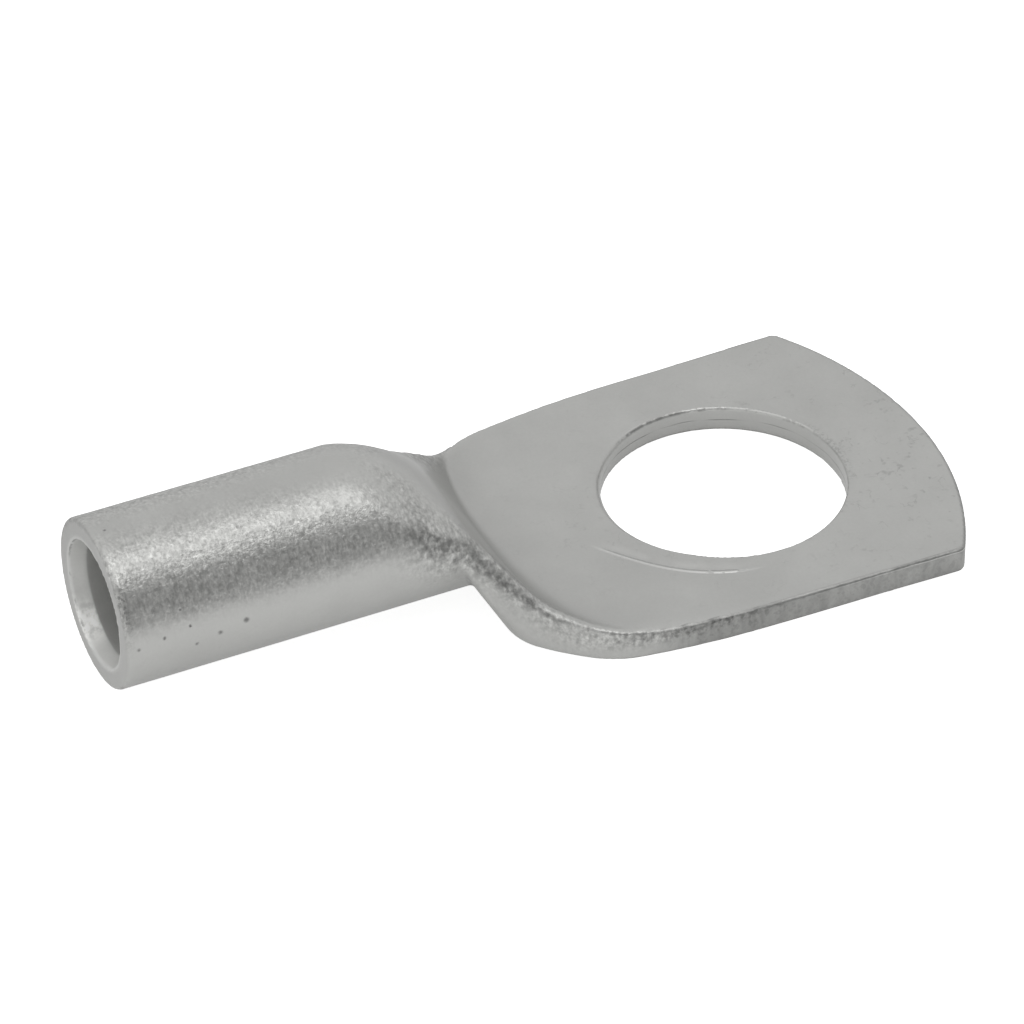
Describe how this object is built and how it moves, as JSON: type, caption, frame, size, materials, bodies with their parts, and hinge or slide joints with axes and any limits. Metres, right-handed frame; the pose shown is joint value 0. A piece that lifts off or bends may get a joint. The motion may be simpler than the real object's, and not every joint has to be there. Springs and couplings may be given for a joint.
{
  "type": "tubular cable lug",
  "caption": "One-piece tubular crimp lug: a round barrel that takes a stripped stranded cable, pressed flat into a wide palm with a hole for a terminal stud.",
  "frame": {"origin": "centre of the stud hole on the palm's contact face", "axes": "+X along the barrel's axis from the cable mouth to the palm's tip, +Z the palm's normal, away from the contact face; symmetric about the XZ plane"},
  "size_m": [0.0472, 0.0214, 0.01],
  "materials": {
    "tinned_copper": "satin tin plate over copper, grainy where the metal was bent most"
  },
  "bodies": {
    "root": {"cable_lug": "tinned_copper"}
  },
  "joints": []
}
